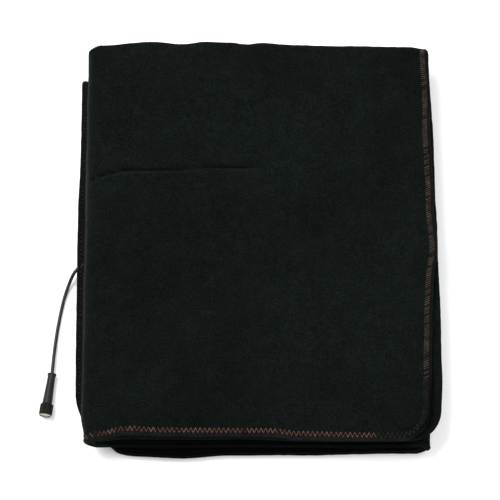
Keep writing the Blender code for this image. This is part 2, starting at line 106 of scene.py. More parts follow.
# ---- stitches, metres ----
STITCH_PITCH = 0.0055
STITCH_REACH = 0.0031  # from the middle of the row to a stroke's end
THREAD = 0.00043
UNDER_THREAD = THREAD * 1.2
OVER_LIFT = 0.00065  # how high the pale and the dark strokes arch over the pile
UNDER_LIFT = 0.00010
END_SINK = 0.0004  # how deep a stroke's ends go into the pile
STROKE_SHARES = (0.0, 0.18, 0.5, 0.82, 1.0)
UNDER_OUT = 0.0009  # how far the dark strokes lie nearer to the hem's edge
RUNG_LOOP = 0.0011
LADDER_FROM = 0.190  # to the right of this the strokes lie side by side like rungs
WORN = 0.05  # share of the strokes that are worn, in the zigzag and in the ladder
WORN_RUNGS = 0.20
SHADED_CORNER = (0.140, -0.175)  # the top layer's thread is painted in shade right of and in front of this
GREYED_FROM = 0.185
PALE_DOTS = (-0.185, -0.225)  # the lower layers' thread shows left of and behind this
# Two dim slots are the thread with painted shade: a near-black copy on the layers under the top one, and a
# dimmer copy round the top layer's front right corner, which also serves the worn strokes.
RED, DEEP_RED, GREYED, WORN_AND_SHADED, SHADED = range(5)  # material slots of the thread

# ---- the heating layer, metres ----
FILM = 0.00030
BUSBAR = 0.00050
INNER_STEP = 0.012
INNER_ROWS = 40
INNER_BEND = 12

# ---- the free cable: the same route as its CAD solid ----
CABLE_RADIUS = 0.0021
CABLE_POINTS = 60
CABLE_ROUTE = (
    (-0.22203, -0.02640, 0.01208),
    (-0.2245, -0.0290, 0.0115),
    (-0.2276, -0.0340, 0.0091),
    (-0.2308, -0.0410, 0.0061),
    (-0.2342, -0.0500, 0.0036),
    (-0.2378, -0.0625, 0.0024),
    (-0.2410, -0.0785, 0.0023),
    (-0.2437, -0.0950, 0.0024),
    (-0.2459, -0.1120, 0.0030),
    (-0.2478, -0.1330, 0.0046),
    (-0.24936, -0.1563, 0.00629),
)


# ---- node helpers ----
class Shader:
    """A material with a few short calls for its nodes."""

    def __init__(self, name):
        self.material = bpy.data.materials.new(name)
        self.material.use_nodes = True
        self.tree = self.material.node_tree
        self.main = self.tree.nodes["Principled BSDF"]
        self.place = self.tree.nodes.new("ShaderNodeTexCoord").outputs["Object"]

    def node(self, kind, **settings):
        made = self.tree.nodes.new(kind)
        for key, value in settings.items():
            setattr(made, key, value)
        return made

    def link(self, a, b):
        self.tree.links.new(a, b)

    def noise(self, scale, detail, roughness):
        made = self.node("ShaderNodeTexNoise")
        made.inputs["Scale"].default_value = scale
        made.inputs["Detail"].default_value = detail
        made.inputs["Roughness"].default_value = roughness
        self.link(self.place, made.inputs["Vector"])
        return made.outputs["Fac"]

    def ramp(self, value, stops):
        made = self.node("ShaderNodeValToRGB")
        ramp = made.color_ramp
        while len(ramp.elements) < len(stops):
            ramp.elements.new(0.5)
        for element, (position, colour) in zip(ramp.elements, stops):
            element.position = position
            element.color = (*colour, 1)
        self.link(value, made.inputs["Fac"])
        return made.outputs["Color"]

    def math(self, operation, a, b):
        made = self.node("ShaderNodeMath", operation=operation)
        for socket, value in zip(made.inputs, (a, b)):
            if isinstance(value, (int, float)):
                socket.default_value = value
            else:
                self.link(value, socket)
        return made.outputs["Value"]

    def mix(self, share, a, b, blend="MIX"):
        made = self.node("ShaderNodeMix", data_type="RGBA", blend_type=blend)
        for socket, value in ((made.inputs["Factor"], share), (made.inputs[6], a), (made.inputs[7], b)):
            if isinstance(value, (int, float)):
                socket.default_value = value
            elif isinstance(value, tuple):
                socket.default_value = (*value, 1)
            else:
                self.link(value, socket)
        return made.outputs[2]

    def bump(self, height, distance, strength=1.0, under=None):
        made = self.node("ShaderNodeBump")
        made.inputs["Strength"].default_value = strength
        made.inputs["Distance"].default_value = distance
        self.link(height, made.inputs["Height"])
        if under:
            self.link(under, made.inputs["Normal"])
        return made.outputs["Normal"]

    def set(self, **values):
        for key, value in values.items():
            socket = self.main.inputs[key.replace("_", " ")]
            if isinstance(value, (int, float)):
                socket.default_value = value
            elif isinstance(value, tuple):
                socket.default_value = (*value, 1) if len(value) == 3 else value
            else:
                self.link(value, socket)
        return self


def fleece_material(name, dark, light):
    """Brushed fleece: matted clumps of fibre, pale lint, a soft sheen, and the mesh's painted light and
    shade.
    """
    s = Shader(name)
    clump = s.noise(scale=430, detail=4, roughness=0.65)
    patch = s.noise(scale=75, detail=3, roughness=0.6)
    broad = s.noise(scale=9, detail=3, roughness=0.5)
    fibre = s.noise(scale=1500, detail=2, roughness=0.7)
    lint = s.noise(scale=420, detail=2, roughness=0.8)
    between = tuple((a + b) / 2 for a, b in zip(dark, light))
    pale = tuple(1.9 * c for c in light)
    tone = s.ramp(clump, [(0.36, dark), (0.50, between), (0.66, light)])
    patches = s.ramp(patch, [(0.35, (0.78, 0.78, 0.78)), (0.65, (1.2, 1.2, 1.2))])
    tone = s.mix(0.7, tone, patches, "MULTIPLY")
    shades = s.ramp(broad, [(0.35, (0.80, 0.80, 0.82)), (0.65, (1.18, 1.17, 1.16))])
    tone = s.mix(0.9, tone, shades, "MULTIPLY")
    specks = s.ramp(lint, [(0.64, (0, 0, 0)), (0.76, (1, 1, 1))])
    tone = s.mix(s.math("MULTIPLY", specks, 0.4), tone, pale)
    # Painted light and shade, read from the mesh: highlights on the left fold's ridge and the hem's lip,
    # shade in the crease, in the corner groove and on the lower front ends.
    painted = s.node("ShaderNodeAttribute", attribute_name="pile_tone").outputs["Fac"]
    tone = s.mix(1.0, tone, painted, "MULTIPLY")
    soft = s.bump(clump, distance=0.0012)
    s.set(Base_Color=tone, Roughness=1.0, Specular_IOR_Level=0.015)
    s.set(Sheen_Weight=0.02, Sheen_Roughness=0.5, Sheen_Tint=(0.80, 0.88, 0.86))
    s.set(Normal=s.bump(fibre, distance=0.0003, strength=0.6, under=soft))
    return s.material


def thread_material(name, dark, light):
    """Dull polyester sewing thread, twisted, with worn lighter spots."""
    s = Shader(name)
    worn = s.noise(scale=150, detail=3, roughness=0.6)
    twist = s.noise(scale=2600, detail=1, roughness=0.5)
    tone = s.ramp(worn, [(0.30, dark), (0.72, light)])
    s.set(Base_Color=tone, Roughness=0.75, Specular_IOR_Level=0.06)
    s.set(Sheen_Weight=0.01, Sheen_Roughness=0.4)
    s.set(Normal=s.bump(twist, distance=0.0002, strength=0.7))
    return s.material


def moulded_material(name, dark, light, roughness, grain=900, depth=0.00006, metallic=0.0, gloss=0.5):
    """Moulded plastic, rubber or metal with fine grain, and wear in its tone and roughness."""
    s = Shader(name)
    wear = s.noise(scale=90, detail=4, roughness=0.6)
    fine = s.noise(scale=grain, detail=2, roughness=0.5)
    tone = s.ramp(wear, [(0.32, dark), (0.70, light)])
    worn_by = 0.22
    matt = s.math("ADD", s.math("MULTIPLY", wear, worn_by), roughness - worn_by / 2)
    s.set(Base_Color=tone, Roughness=matt, Metallic=metallic)
    s.set(Normal=s.bump(fine, distance=depth, strength=0.6))
    s.set(Specular_IOR_Level=gloss)
    return s.material


def woven_material(name, dark, light, threads, roughness, metallic=0.0):
    """A plain weave of carbon or copper strands."""
    s = Shader(name)
    waves = []
    for direction in ("X", "Y"):
        wave = s.node("ShaderNodeTexWave", wave_type="BANDS", bands_direction=direction)
        wave.inputs["Scale"].default_value = threads
        wave.inputs["Distortion"].default_value = 0.6
        s.link(s.place, wave.inputs["Vector"])
        waves.append(wave.outputs["Fac"])
    weave = s.math("MULTIPLY", *waves)
    s.set(Base_Color=s.ramp(weave, [(0.1, dark), (0.8, light)]), Roughness=roughness, Metallic=metallic)
    s.set(Normal=s.bump(weave, distance=0.0002, strength=0.6))
    return s.material


# ---- mesh helpers ----
def make_mesh(name, points, faces, material, sharp=None):
    mesh = bpy.data.meshes.new(name)
    mesh.from_pydata([tuple(p) for p in points], [], faces)
    mesh.update()
    mesh.shade_smooth()
    obj = bpy.data.objects.new(name, mesh)
    bpy.context.scene.collection.objects.link(obj)
    mesh.materials.append(material)
    if sharp:
        wanted = {tuple(sorted(edge)) for edge in sharp}
        flags = [tuple(sorted(edge.vertices)) in wanted for edge in mesh.edges]
        attribute = mesh.attributes.new("sharp_edge", "BOOLEAN", "EDGE")
        attribute.data.foreach_set("value", flags)
    return obj


def value_noise(points, scale, seed):
    """Smooth noise from -1 to 1 at the points, from hashed cell numbers: the same each time."""
    p = np.asarray(points) / scale + seed * 17.13
    cell = np.floor(p).astype(np.int64)
    t = p - cell
    t = t * t * (3 - 2 * t)
    total = np.zeros(len(p))
    for corner in range(8):
        bits = np.array([corner & 1, corner >> 1 & 1, corner >> 2 & 1])
        q = cell + bits
        h = (q[:, 0] * 73856093) ^ (q[:, 1] * 19349663) ^ (q[:, 2] * 83492791)
        h = (h ^ (h >> 13)) * 1274126177 & 0x7FFFFFFF
        weight = np.prod(np.where(bits, t, 1 - t), axis=1)
        total += weight * (h / 0x3FFFFFFF - 1)
    return total


def smooth_step(x, low, high):
    t = np.clip((x - low) / (high - low), 0, 1)
    return t * t * (3 - 2 * t)


def bell(x, centre, width):
    return np.exp(-(((x - centre) / width) ** 2))


def along(x, knots):
    """A smooth line through (place, value) knots, level at each of them."""
    places = [place for place, _ in knots]
    values = np.array([value for _, value in knots])
    k = np.clip(np.searchsorted(places, x) - 1, 0, len(places) - 2)
    low, high = np.array(places)[k], np.array(places)[k + 1]
    t = np.clip((x - low) / (high - low), 0, 1)
    return values[k] + (values[k + 1] - values[k]) * t * t * (3 - 2 * t)


# ---- the field of small shifts that all cloth goes through ----
# The hems' and folds' wander, metres: (place along the edge, shift outward there).
BACK_OF_TOP = (
    (-0.215, -0.0020),
    (-0.196, -0.0004),
    (-0.132, 0.0048),
    (-0.091, 0.0014),
    (-0.066, 0.0048),
    (-0.034, 0.0036),
    (-0.013, 0.0010),
    (0.004, 0.0028),
    (0.045, 0.0001),
    (0.110, -0.0014),
    (0.190, -0.0032),
    (0.215, -0.0060),
)
FRONT_OF_TOP = (
    (-0.214, 0.0026),
    (-0.190, 0.0010),
    (-0.158, -0.0046),
    (-0.105, -0.0028),
    (0.010, -0.0024),
    (0.052, 0.0010),
    (0.150, 0.0026),
)
FRONT_OF_BOTTOM = (
    (-0.200, -0.0080),
    (-0.182, -0.0070),
    (-0.176, -0.0060),
    (-0.169, -0.0030),
    (-0.160, -0.0024),
    (-0.095, 0.0008),
    (-0.030, -0.0034),
    (0.060, -0.0036),
    (0.170, -0.0050),
)
LEFT_OF_BOTTOM = (
    (-0.200, -0.0016),
    (-0.090, -0.0006),
    (-0.055, -0.0004),
    (-0.026, 0.0),
    (0.015, 0.0002),
    (0.060, 0.0002),
    (0.100, -0.0012),
)


# ---- how the cloth settles: one cloth simulation, and then small shifts ----
DRAPE_STEP = 0.014
DRAPE_X = np.arange(-0.245, 0.2501, DRAPE_STEP)
DRAPE_Y = np.arange(-0.285, 0.2951, DRAPE_STEP)
DRAPE_FROM = 0.010  # the height that the sheet drops from
DRAPE_FRAMES = 26
DRAPE_CAP = 0.0016  # the relief's limit, up and down
BED_X = np.linspace(-0.30, 0.30, 49)
BED_Y = np.linspace(-0.34, 0.35, 55)
LUMP = 0.0018
LUMP_WIDTH = 0.016
LUMPS = ("thermal_cutout", "temperature_sensor", "supply_splice", "cable_inner_end")


def grid_object(name, xs, ys, height):
    """A flat grid of quads whose heights come from a function of (x, y)."""
    across, along_y = np.meshgrid(xs, ys)
    points = np.stack([across.ravel(), along_y.ravel(), height(across.ravel(), along_y.ravel())], axis=1)
    index = np.arange(across.size).reshape(across.shape)
    quads = np.stack([index[:-1, :-1], index[:-1, 1:], index[1:, 1:], index[1:, :-1]], axis=-1)
    mesh = bpy.data.meshes.new(name)
    mesh.from_pydata(points.tolist(), [], quads.reshape(-1, 4).tolist())
    mesh.update()
    obj = bpy.data.objects.new(name, mesh)
    bpy.context.scene.collection.objects.link(obj)
    return obj


def uneven_bed(x, y):
    """The layers under the top one: loose pile, and lumps where the hard pieces lie."""
    flat = np.stack([x, y, 0 * x], axis=1)
    height = 0.0034 * value_noise(flat, 0.11, 11) + 0.0016 * value_noise(flat, 0.05, 12)
    for name in LUMPS:
        low, high = BOX[name]
        middle = [(a + b) / 2 for a, b in zip(low, high)]
        height += LUMP * np.exp(-((x - middle[0]) ** 2 + (y - middle[1]) ** 2) / LUMP_WIDTH**2)
    return height


def fleece_cloth(sheet):
    """Make the sheet a thick, soft cloth that is a touch too large, so that it lies in gentle waves."""
    cloth = sheet.modifiers.new("Cloth", "CLOTH")
    cloth.settings.quality = 5
    cloth.settings.mass = 0.3
    cloth.settings.tension_stiffness = cloth.settings.compression_stiffness = 18
    cloth.settings.shear_stiffness = 8
    cloth.settings.bending_stiffness = 0.8
    cloth.settings.air_damping = 2
    cloth.settings.shrink_min = -0.006
    cloth.collision_settings.distance_min = 0.002
    cloth.collision_settings.use_self_collision = False
    cloth.point_cache.frame_start, cloth.point_cache.frame_end = 1, DRAPE_FRAMES


def settled_relief():
    """The relief of a fleece sheet that cloth simulation lays on the uneven bed, about its mean height."""
    sheet = grid_object("draped_sheet", DRAPE_X, DRAPE_Y, lambda x, y: 0 * x + DRAPE_FROM)
    bed = grid_object("bed", BED_X, BED_Y, uneven_bed)
    bed.modifiers.new("Collision", "COLLISION")
    bed.collision.thickness_outer = 0.002
    bed.collision.cloth_friction = 20
    fleece_cloth(sheet)
    scene = bpy.context.scene
    scene.frame_start, scene.frame_end = 1, DRAPE_FRAMES
    for number in range(1, DRAPE_FRAMES + 1):
        scene.frame_set(number)
    settled = sheet.evaluated_get(bpy.context.evaluated_depsgraph_get())
    places = np.zeros(3 * len(settled.data.vertices))
    settled.data.vertices.foreach_get("co", places)
    height = places.reshape(len(DRAPE_Y), len(DRAPE_X), 3)[:, :, 2]
    for obj in (sheet, bed):
        mesh = obj.data
        bpy.data.objects.remove(obj)
        bpy.data.meshes.remove(mesh)
    scene.frame_set(1)
    return np.round(np.clip(height - height.mean(), -DRAPE_CAP, DRAPE_CAP), 5)


RELIEF = settled_relief()


def relief_at(x, y):
    """The settled sheet's relief at any point, as a cubic B-spline through its grid."""
    parts = []
    for place, start, count in ((x, DRAPE_X[0], len(DRAPE_X)), (y, DRAPE_Y[0], len(DRAPE_Y))):
        u = np.clip((place - start) / DRAPE_STEP, 0, count - 1.001)
        i = u.astype(int)
        t = u - i
        weights = ((1 - t) ** 3, 3 * t**3 - 6 * t**2 + 4, 3 * (t + t**2 - t**3) + 1, t**3)
        parts.append([(np.clip(i + n - 1, 0, count - 1), w / 6) for n, w in enumerate(weights)])
    columns, rows = parts
    return sum(RELIEF[j, i] * a * b for i, a in columns for j, b in rows)


def crease_line(x):
    """The crease at the upper left: its y, and how much of it there is, at each x."""
    line = 0.0925 - 4.0 * np.clip(-x - 0.148, 0, 0.07) ** 2 + 0.033 * np.clip(x + 0.113, 0, 0.13)
    return line, smooth_step(-x, -0.014, 0.018)


# The crease's first table is painted light and shade: painted shade along its line and a painted highlight
# on the lip beside it. The second table shapes its groove.
# The crease's terms: (distance behind its line, change there, half width).
CREASE_SHADE_AND_HIGHLIGHT = ((0.0, -0.80, 0.0015), (-0.0036, 0.50, 0.0016))
CREASE_LIFTS = ((0.0, -0.0032, 0.0024), (-0.0070, 0.0012, 0.0055), (0.0085, 0.0005, 0.0065))


def crease(x, y, z, terms):
    """What each of the terms changes at the points. Only the top layer's outer skin takes part."""
    crease_y, run = crease_line(x)
    skin = smooth_step(z, STACK - 0.0045, STACK - 0.0012)
    return [change * bell(y, crease_y + behind, width) * run * skin for behind, change, width in terms]


# Painted light and shade on the pile, and where: a painted highlight on the left fold's ridge and on
# the front hem's lip, and painted shade in the groove across the front right corner and on the front
# ends of the layers below.
# A painted highlight: a light line along the left fold's ridge.
RIDGE_HIGHLIGHT = 2.2
RIDGE_X = LEFT_PIVOT[0] - 0.0150
RIDGE_WIDTH = 0.0020
# A painted highlight along the front hem's lip.
LIP_HIGHLIGHT = 0.8
# Painted shade in the groove at the front right corner.
GROOVE_SHADE = 0.65
GROOVE_CENTRE = (0.1815, TOP_LOW[1] + TOP_CORNER)
GROOVE_RADIUS = TOP_CORNER - 0.0125
GROOVE_WIDTH = 0.0026
FRONT_SHADE = 0.85


def front_lip(x, y, z):
    """1 on the front hem's edge, along the top layer and down the left fold, where a highlight is painted.
    """
    top = smooth_step(z, 0.036, 0.040)
    left = smooth_step(-x, 0.180, 0.190) * smooth_step(z, 0.022, 0.030)
    return smooth_step(TOP_LOW[1] - y, -0.0045, -0.0030) * np.maximum(top, left)


def corner_groove(x, y, z):
    """1 in the groove that follows the top layer's front right corner inside its stitches, where shade is
    painted.
    """
    right, ahead = x - GROOVE_CENTRE[0], y - GROOVE_CENTRE[1]
    across = np.where(ahead < 0, np.hypot(right, np.minimum(ahead, 0)), right)
    near = smooth_step(-y, 0.150, 0.200) * smooth_step(x, 0.150, 0.185) * smooth_step(z, 0.036, 0.040)
    return bell(across, GROOVE_RADIUS, GROOVE_WIDTH) * near


def front_below(x, y, z):
    """1 at the front ends of the layers under the top one, where shade is painted, and less on the round
    ends at the right.
    """
    below = (1 - smooth_step(z, 0.0330, 0.0365)) * smooth_step(x, -0.184, -0.172)
    below *= 1 - 0.8 * smooth_step(x, 0.176, 0.190) * smooth_step(z, 0.006, 0.012)
    return below * smooth_step(-y, 0.2280, 0.2420)


def pile_tone(points):
    """Painted light and shade on the pile: painted shade along the crease and a painted highlight on its
    lip, painted highlights on the left fold's ridge and the front hem's lip, and painted shade in the
    corner groove and on the front ends of the layers below.
    """
    x, y, z = points[:, 0], points[:, 1], points[:, 2]
    tone = 1 + sum(crease(x, y, z, CREASE_SHADE_AND_HIGHLIGHT))
    tone += RIDGE_HIGHLIGHT * bell(x, RIDGE_X, RIDGE_WIDTH) * smooth_step(z, 0.033, 0.039)
    tone += LIP_HIGHLIGHT * front_lip(x, y, z)
    tone -= GROOVE_SHADE * corner_groove(x, y, z)
    return tone * (1 - FRONT_SHADE * front_below(x, y, z))


SWELL = 0.0007  # small waves on top of the simulated relief
SIDE_WANDER = 0.0009  # how far the side hems and folds wander
FRONT_WANDER = 0.0009
BACK_LEFT_SLIP = 0.0090  # how far the bottom layer's back left corner has slipped forward
LEFT_FOLD_IN = 0.0006  # how far the left fold lies in, all along and at its front end
LEFT_FRONT_IN = 0.0040


def shifted(points):
    """Where the folded cloth's points lie once it has settled."""
    p = np.array(points, float)
    x, y, z = p[:, 0].copy(), p[:, 1].copy(), p[:, 2].copy()
    level = np.clip(z / STACK, 0, 1.1)
    flat, tall = np.stack([x, y, 0 * x], axis=1), np.stack([x, y, z * 3], axis=1)
    upper = smooth_step(z, 0.030, 0.042)
    lower = 1 - smooth_step(z, 0.0130, 0.0190)
    back, front = smooth_step(y, 0.12, 0.25), smooth_step(-y, 0.15, 0.24)
    left = smooth_step(-x, 0.16, 0.205)
    back_left = smooth_step(-x, 0.165, 0.215) * smooth_step(y, 0.14, 0.225)
    p[:, 2] += level * (relief_at(x, y) + SWELL * value_noise(flat, 0.06, 2))
    for lift in crease(x, y, z, CREASE_LIFTS):
        p[:, 2] += lift
    p[:, 1] += along(x, BACK_OF_TOP) * back * upper
    p[:, 1] -= along(x, FRONT_OF_TOP) * front * upper
    p[:, 1] -= along(x, FRONT_OF_BOTTOM) * front * lower
    p[:, 1] -= BACK_LEFT_SLIP * back_left * lower
    p[:, 1] += FRONT_WANDER * value_noise(tall, 0.045, 4) * smooth_step(-y, 0.20, 0.24)
    p[:, 0] -= along(y, LEFT_OF_BOTTOM) * left * lower
    p[:, 0] += left * (1 - lower) * (LEFT_FOLD_IN + LEFT_FRONT_IN * smooth_step(-y, 0.212, 0.240))
    p[:, 0] += SIDE_WANDER * value_noise(tall, 0.040, 3) * level * smooth_step(np.abs(x), 0.17, 0.20)
    return p


def fuzzed(points, normals, size):
    """Matted pile. It fades out where two pieces of the cloth meet."""
    grain = value_noise(points, 0.0060, 5) + 0.5 * value_noise(points, 0.0034, 6)
    for seam in SEAMS:
        grain = grain * smooth_step(np.abs(points[:, 0] - seam), 0.0020, 0.0140)
    return points + normals * (size * grain)[:, None]


# ---- one panel ----
def half_thickness(edge):
    """Half the sheet's thickness at a distance from its hem: round nose, pinched row, then full."""
    edge = np.asarray(edge, float)
    nose = HEM_HALF * np.sqrt(np.clip(1 - np.clip(1 - edge / NOSE, 0, 1) ** 2, 0, 1))
    body = HEM_HALF + (FULL - HEM_HALF) * smooth_step(edge, *HEM_RISE)
    pinch = PINCH * bell(edge, STITCH_IN, PINCH_WIDTH)
    return np.maximum(np.where(edge < NOSE, nose, body) - pinch, THINNEST)


class Panel:
    """A third of the blanket: the upper layer, the half fold and the lower layer.

    round_side is the side with rounded corners and a side hem, or None for the middle panel. seam is
    the X where it meets its side fold, and far the X of its other side. hems, where given, holds the
    knots of that side hem for the upper and the lower layer.
    """

    def __init__(self, name, round_side, corner, step, hems=None):
        low, high = BOX[f"{name}_face_fleece"]
        self.name, self.body, self.step = name, f"{name}_panel", step
        self.round_side, self.corner = round_side, corner
        self.front, self.fold = low[1], high[1] - HALF
        self.middle = (low[2] + high[2]) / 2
        self.outward = -1 if round_side == "left" else 1
        left, right = LEFT_PIVOT[0], RIGHT_PIVOT[0]
        self.seam = right if round_side == "left" else left
        self.far = {"left": low[0], "right": high[0], None: right}[round_side]
        self.hems = hems

    def hem(self, layer, y):
        """The X of the far side at y, for layer 0 (upper) or 1 (lower)."""
        if not self.hems:
            return self.far
        return float(along(np.array([y]), self.hems[layer])[0])

    def columns(self):
        """The columns' distances from the side hem, or for the middle panel their shares of the width."""
        width = abs(self.far - self.seam)
        if not self.round_side:
            count = int(width / self.step)
            return [k / count for k in range(count + 1)]
        return [*FINE, *np.linspace(FINE[-1], width, int((width - FINE[-1]) / self.step) + 1)[1:]]

    def rows(self):
        """The rows' distances from the front hem."""
        length = self.fold - self.front
        return [*FINE, *np.linspace(FINE[-1], length, int((length - FINE[-1]) / self.step) + 1)[1:]]

    def spot(self, layer, column, row):
        """(x, y, distance from the nearest hem) of a point of a flat layer.

        In a rounded corner the square grid is mapped onto a quarter of a disc.
        """
        if not self.round_side:
            return self.seam + (self.far - self.seam) * column, self.front + row, row
        corner = self.corner
        dx, dy, edge = column, row, min(column, row)
        if column < corner and row < corner:
            q, p = 1 - column / corner, 1 - row / corner
            u, v = q * math.sqrt(1 - p * p / 2), p * math.sqrt(1 - q * q / 2)
            dx, dy = corner * (1 - u), corner * (1 - v)
            edge = corner * (1 - math.hypot(u, v))
        y = self.front + dy
        hem = self.hem(layer, y)
        if dx > corner:
            stretch = (abs(hem - self.seam) - corner) / (abs(self.far - self.seam) - corner)
            dx = corner + (dx - corner) * stretch
        return hem - self.outward * dx, y, max(edge, 0.0)


def panel_grid(panel):
    """Two skins of points, outer and inner, as arrays of (row, column, 3)."""
    columns, rows = panel.columns(), panel.rows()

    def flat_row(layer, up, sign, row):
        line = []
        for column in columns:
            x, y, edge = panel.spot(layer, column, row)
            r = MID + sign * float(half_thickness(edge))
            line.append((x, y, panel.middle + up * r))
        return line

    def bent_row(sign, angle):
        line = []
        share = 0.5 - angle / math.pi
        for column in columns:
            x = panel.spot(0, column, rows[-1])[0] * (1 - share)
            x += panel.spot(1, column, rows[-1])[0] * share
            r = MID + sign * (float(half_thickness(column)) if panel.round_side else FULL)
            line.append((x, panel.fold + r * math.cos(angle), panel.middle + r * math.sin(angle)))
        return line

    skins = []
    for sign in (1, -1):
        grid = [flat_row(0, 1, sign, row) for row in rows]
        for k in range(1, HALF_FOLD_STEPS):
            grid.append(bent_row(sign, math.pi / 2 - math.pi * k / HALF_FOLD_STEPS))
        grid += [flat_row(1, -1, sign, row) for row in rows[::-1]]
        skins.append(np.array(grid))
    return skins


def sheet_faces(rows, columns, flip):
    """The quads of two skins with rows x columns points each, joined along their rims."""
    count = rows * columns
    index = np.arange(count).reshape(rows, columns)
    faces = []
    for shift, turn in ((0, False), (count, True)):
        a, b = index[:-1, :-1] + shift, index[:-1, 1:] + shift
        c, d = index[1:, 1:] + shift, index[1:, :-1] + shift
        quads = np.stack([a, b, c, d], axis=-1).reshape(-1, 4)
        faces += (quads[:, ::-1] if turn != flip else quads).tolist()
    rim = [*index[0, :-1], *index[:-1, -1], *index[-1, :0:-1], *index[:0:-1, 0]]
    for a, b in zip(rim, rim[1:] + rim[:1]):
        quad = [int(b), int(a), int(a) + count, int(b) + count]
        faces.append(quad[::-1] if flip else quad)
    return faces


def closed_sheet(name, outer, inner, material, seam_sides, flip=False, fuzz=0.00024):
    """A closed mesh from two skins with the same grid.

    seam_sides names the grid's first or last column where it meets another piece of the cloth. There
    the edge is sharp, and the points keep clear of the fuzz.
    """
    rows, columns = outer.shape[:2]
    count = rows * columns
    points = np.concatenate([outer.reshape(-1, 3), inner.reshape(-1, 3)])
    index = np.arange(count).reshape(rows, columns)
    sharp, keep = [], np.zeros(2 * count, bool)
    for side in seam_sides:
        line = index[:, 0] if side == "first" else index[:, -1]
        keep[line] = keep[line + count] = True
        for shift in (0, count):
            sharp += [(int(a) + shift, int(b) + shift) for a, b in zip(line, line[1:])]
    settled = shifted(points)
    obj = make_mesh(name, settled, sheet_faces(rows, columns, flip), material, sharp)
    # The painted light and shade goes onto the points, for the fleece's colour.
    tone = obj.data.attributes.new("pile_tone", "FLOAT", "POINT")
    tone.data.foreach_set("value", pile_tone(points).astype(np.float32))
    normals = np.zeros(3 * len(settled))
    obj.data.vertices.foreach_get("normal", normals)
    settled = np.where(keep[:, None], settled, fuzzed(settled, normals.reshape(-1, 3), fuzz))
    obj.data.vertices.foreach_set("co", settled.astype(np.float32).ravel())
    obj.data.update()
    return obj


def make_panel(panel, material):
    name, round_side = panel.name, panel.round_side
    outer, inner = panel_grid(panel)
    seam_sides = ["last"] if round_side else ["first", "last"]
    flip = round_side == "right"
    obj = closed_sheet(f"{name}_panel_cloth", outer, inner, material, seam_sides, flip)
    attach(obj, panel.body)
    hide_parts(f"{name}_face_fleece", f"{name}_back_fleece")


# ---- the side folds ----
class SideFold:
    """A side fold: its pivot, the side it bends out to (-1 left, 1 right), and the panels it joins."""

    def __init__(self, name, pivot, side, low, high):
        self.name, self.pivot, self.side, self.low, self.high = name, pivot, side, low, high
        reach = OUTER + FULL
        self.start, self.end = (pivot[0], 0, pivot[2] - reach), (pivot[0], 0, pivot[2] + reach)

    def front(self, share):
        """The front hem's Y, from the upper panel's (share 0) to the lower panel's (share 1)."""
        return self.high.front + (self.low.front - self.high.front) * share

    def back(self, share):
        return self.high.fold + (self.low.fold - self.high.fold) * share

    def point(self, r, angle, y):
        x = self.pivot[0] + self.side * r * math.cos(angle)
        return (x, y, self.pivot[2] + r * math.sin(angle))


def sleeve_skin(fold, radius, cap, sign):
    """One skin of a sleeve, as an array of (row, column, 3). It closes in a cap behind the back fold."""
    lines = []
    for k in range(SIDE_FOLD_STEPS + 1):
        angle = math.pi / 2 - math.pi * k / SIDE_FOLD_STEPS
        front, back = fold.front(k / SIDE_FOLD_STEPS), fold.back(k / SIDE_FOLD_STEPS)
        rows = [*FINE, *np.linspace(FINE[-1], back - front, SLEEVE_ROWS)[1:]]
        line = [fold.point(radius + sign * float(half_thickness(row)), angle, front + row) for row in rows]
        for step in range(1, CAP_STEPS + 1):
            turn = math.pi / 2 * CAP_SHARE * step / CAP_STEPS
            r = (radius + sign * FULL) * math.cos(turn) ** 0.5
            y = back + cap * math.sin(turn) ** 0.7 + sign * CAP_APART * math.sin(turn)
            line.append(fold.point(r, angle, y))
        lines.append(line)
    return np.swapaxes(np.array(lines), 0, 1)


def make_sleeve(fold, layer, radius, cap, material):
    """A sleeve of one layer round a side fold."""
    outer, inner = (sleeve_skin(fold, radius, cap, sign) for sign in (1, -1))
    name = f"{fold.name}_{layer}_cloth"
    obj = closed_sheet(name, outer, inner, material, ["first", "last"], flip=fold.side > 0)
    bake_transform(obj)
    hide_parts(f"{fold.name}_fold_{layer}")


# ---- stitches ----
# A station is a place along a hem. It maps (distance in from the hem, radius) to a point, where the
# radius counts from the middle plane of the panel, as it does in panel_grid.
def front_station(panel, up, x):
    return lambda e, r: (x, panel.front + e, panel.middle + up * r)


def corner_station(panel, layer, up, a):
    """A place on a rounded corner. Its angle goes from 0 at the front hem to a quarter turn."""
    corner, out = panel.corner, panel.outward

    def station(e, r):
        y = panel.front + corner - (corner - e) * math.cos(a)
        x = panel.hem(layer, y) - out * corner + out * (corner - e) * math.sin(a)
        return (x, y, panel.middle + up * r)

    return station


def side_station(panel, layer, up, y):
    return lambda e, r: (panel.hem(layer, y) - panel.outward * e, y, panel.middle + up * r)


def bend_station(panel, share):
    """A place where the side hem goes round the half fold, from the upper layer to the lower."""
    a = math.pi / 2 - math.pi * share
    x = panel.hem(0, panel.fold) * (1 - share) + panel.hem(1, panel.fold) * share

    def station(e, r):
        return (x - panel.outward * e, panel.fold + r * math.cos(a), panel.middle + r * math.sin(a))

    return station


def layer_stations(panel, layer, up, pitch):
    """The stations of one layer: along the front hem, and then round the corner to the half fold."""
    if not panel.round_side:
        count = int(abs(panel.far - panel.seam) / pitch)
        return [front_station(panel, up, x) for x in np.linspace(panel.seam, panel.far, count + 1)]
    corner_y = panel.front + panel.corner
    corner_x = panel.hem(layer, corner_y) - panel.outward * panel.corner
    count = int(abs(corner_x - panel.seam) / pitch)
    stations = [front_station(panel, up, x) for x in np.linspace(panel.seam, corner_x, count)]
    arc = int((panel.corner - STITCH_IN) * math.pi / 2 / pitch)
    stations += [corner_station(panel, layer, up, math.pi / 2 * k / arc) for k in range(1, arc)]
    count = int((panel.fold - corner_y) / pitch)
    stations += [side_station(panel, layer, up, y) for y in np.linspace(corner_y, panel.fold, count)]
    return stations


